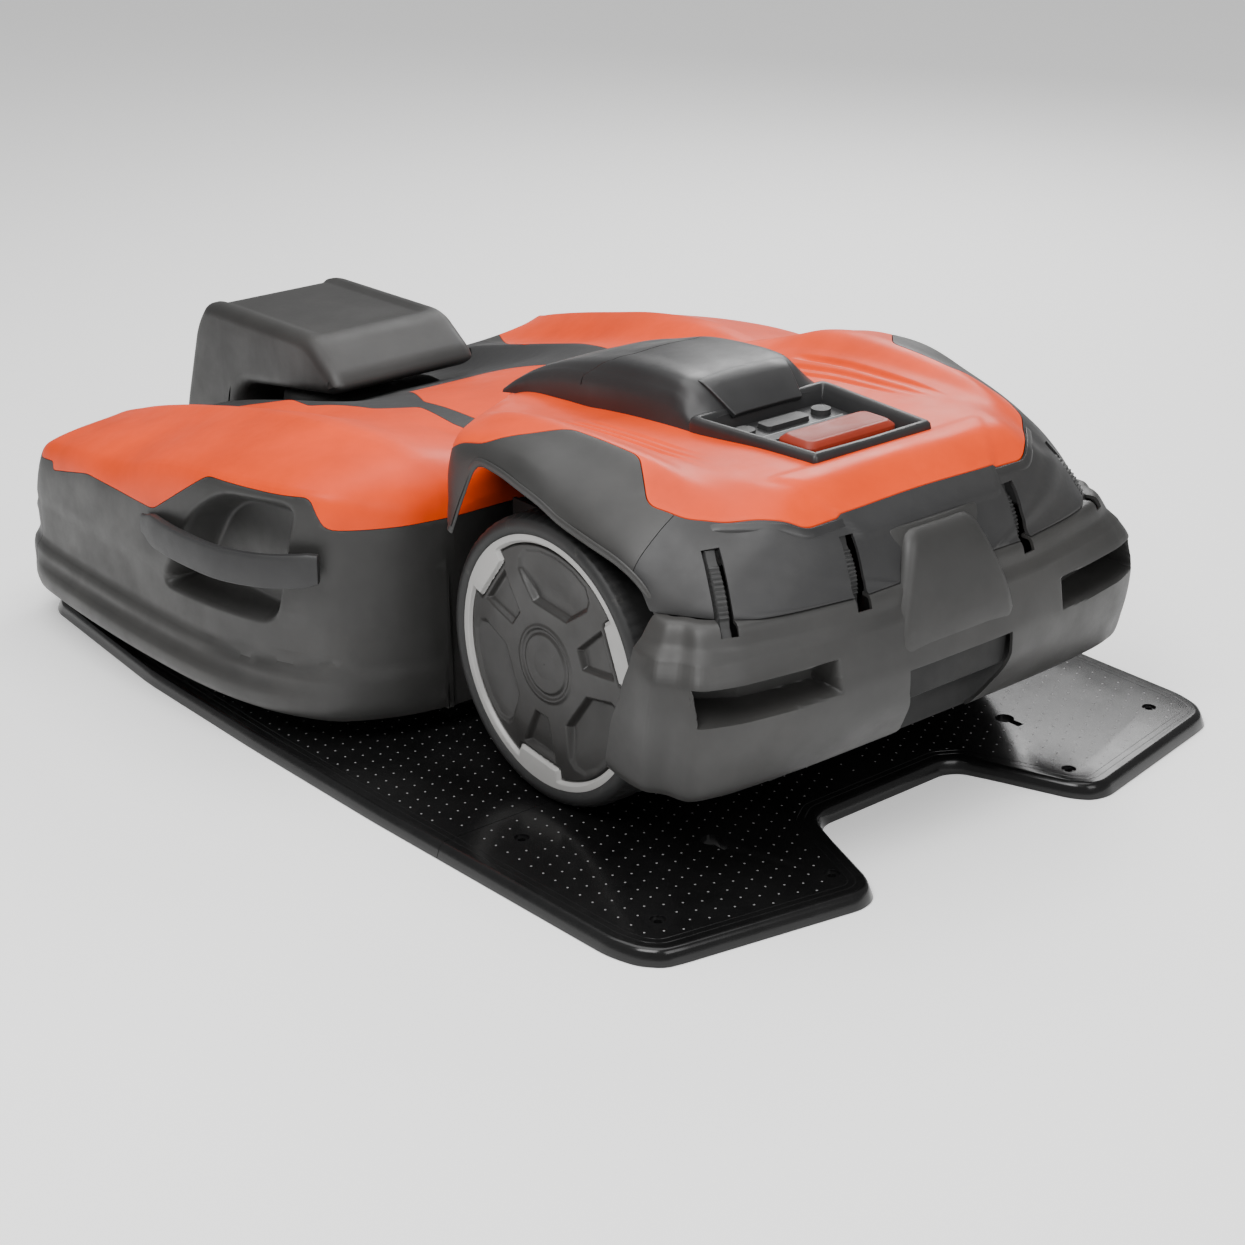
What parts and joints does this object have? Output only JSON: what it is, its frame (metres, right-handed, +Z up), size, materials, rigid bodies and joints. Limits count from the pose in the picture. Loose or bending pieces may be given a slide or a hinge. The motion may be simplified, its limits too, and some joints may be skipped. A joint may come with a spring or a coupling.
{
  "type": "robotic lawn mower",
  "caption": "Articulated robotic lawn mower docked on its charging station: wide front cutting deck, rear drive unit with large wheels, keypad, and a studded plate with a contact tower.",
  "frame": {"origin": "bottom centre of the bounding box, on the floor under the station plate", "axes": "+Z up, +Y towards the rear of the mower, the way it drives off the station, +X to the mower's left"},
  "size_m": [1.214, 1.8192, 0.557],
  "materials": {
    "orange_cover": "moulded, semi-gloss",
    "grey_body": "fine moulded texture",
    "grey_panel": "finer moulded texture",
    "black_cover": "satin black",
    "plate_black": "satin, studded top",
    "rubber_black": "ribbed",
    "tyre_black": "slick sidewall",
    "rim_silver": "silver coated plastic",
    "steel": "bare steel",
    "alloy": "cast alloy",
    "stop_red": "satin brick red"
  },
  "bodies": {
    "station": {"plate_front": "plate_black", "plate_rear": "plate_black", "tower_housing": "grey_body", "tower_supply": "black_cover", "tower_contact_left": "steel", "tower_contact_right": "steel"},
    "mower": {"hood": "orange_cover", "top_cover": "black_cover", "control_frame": "black_cover", "keypad_panel": "black_cover", "hood_ledge": "black_cover", "rear_panel": "grey_panel", "fender_left": "grey_body", "fender_right": "grey_body", "rear_bumper": "grey_body", "strap_inner_left": "rubber_black", "strap_inner_right": "rubber_black", "strap_outer_left": "rubber_black", "strap_outer_right": "rubber_black", "chassis": "alloy", "gearmotor_left": "black_cover", "gearmotor_right": "black_cover", "battery": "black_cover", "control_box": "alloy", "hitch": "steel", "deck_skirt": "grey_body", "deck_bumper": "grey_body", "deck_cover_left": "orange_cover", "deck_cover_right": "orange_cover", "deck_saddle": "grey_panel", "deck_badge_panel": "orange_cover", "grip_bar_left": "grey_panel", "grip_bar_right": "grey_panel", "deck_frame": "alloy"},
    "wheel_left": {"tyre_left": "tyre_black", "rim_ring_left": "rim_silver", "wheel_disc_left": "grey_panel", "hub_cap_left": "grey_panel"},
    "wheel_right": {"tyre_right": "tyre_black", "rim_ring_right": "rim_silver", "wheel_disc_right": "grey_panel", "hub_cap_right": "grey_panel"},
    "cutting_carrier": {"height_carrier": "alloy", "cutter_motor_left": "black_cover", "cutter_motor_mid": "black_cover", "cutter_motor_right": "black_cover"},
    "disc_left": {"cutter_disc_left": "steel"},
    "disc_mid": {"cutter_disc_mid": "steel"},
    "disc_right": {"cutter_disc_right": "steel"},
    "caster_left": {"caster_fork_left": "steel"},
    "caster_right": {"caster_fork_right": "steel"},
    "caster_roll_left": {"caster_wheel_left": "rubber_black"},
    "caster_roll_right": {"caster_wheel_right": "rubber_black"},
    "stop": {"stop_button": "stop_red"},
    "start": {"start_button": "grey_panel"},
    "power": {"power_button": "grey_panel"},
    "wireless": {"wireless_button": "grey_panel"},
    "modes": {"mode_keys": "grey_panel"}
  },
  "joints": [
    {"name": "drive_off", "type": "slide", "parent": "station", "child": "mower", "axis": [0, 1, 0], "range_m": [0, 1.7]},
    {"name": "wheel_spin_left", "type": "hinge", "parent": "mower", "child": "wheel_left", "pos_m": [0.344, 0.439, 0.227], "axis": [1, 0, 0], "continuous": true},
    {"name": "wheel_spin_right", "type": "hinge", "parent": "mower", "child": "wheel_right", "pos_m": [-0.344, 0.439, 0.227], "axis": [1, 0, 0], "continuous": true},
    {"name": "cutting_height", "type": "slide", "parent": "mower", "child": "cutting_carrier", "axis": [0, 0, 1], "range_m": [-0.02, 0.03]},
    {"name": "disc_spin_left", "type": "hinge", "parent": "cutting_carrier", "child": "disc_left", "pos_m": [0.35, -0.33, 0.09], "axis": [0, 0, 1], "continuous": true},
    {"name": "disc_spin_mid", "type": "hinge", "parent": "cutting_carrier", "child": "disc_mid", "pos_m": [0, -0.2, 0.09], "axis": [0, 0, 1], "continuous": true},
    {"name": "disc_spin_right", "type": "hinge", "parent": "cutting_carrier", "child": "disc_right", "pos_m": [-0.35, -0.33, 0.09], "axis": [0, 0, 1], "continuous": true},
    {"name": "caster_swivel_left", "type": "hinge", "parent": "mower", "child": "caster_left", "pos_m": [0.455, -0.58, 0.15], "axis": [0, 0, 1], "continuous": true},
    {"name": "caster_spin_left", "type": "hinge", "parent": "caster_left", "child": "caster_roll_left", "pos_m": [0.455, -0.606, 0.072], "axis": [1, 0, 0], "continuous": true},
    {"name": "caster_swivel_right", "type": "hinge", "parent": "mower", "child": "caster_right", "pos_m": [-0.455, -0.58, 0.15], "axis": [0, 0, 1], "continuous": true},
    {"name": "caster_spin_right", "type": "hinge", "parent": "caster_right", "child": "caster_roll_right", "pos_m": [-0.455, -0.606, 0.072], "axis": [1, 0, 0], "continuous": true},
    {"name": "stop_press", "type": "slide", "parent": "mower", "child": "stop", "axis": [0, 0, -1], "range_m": [0, 0.004], "stiffness_N_per_m": 2500},
    {"name": "start_press", "type": "slide", "parent": "mower", "child": "start", "axis": [0, 0, -1], "range_m": [0, 0.002], "stiffness_N_per_m": 1200},
    {"name": "power_press", "type": "slide", "parent": "mower", "child": "power", "axis": [0, 0, -1], "range_m": [0, 0.002], "stiffness_N_per_m": 1200},
    {"name": "wireless_press", "type": "slide", "parent": "mower", "child": "wireless", "axis": [0, 0, -1], "range_m": [0, 0.002], "stiffness_N_per_m": 1200},
    {"name": "modes_press", "type": "slide", "parent": "mower", "child": "modes", "axis": [0, 0, -1], "range_m": [0, 0.002], "stiffness_N_per_m": 1200}
  ]
}
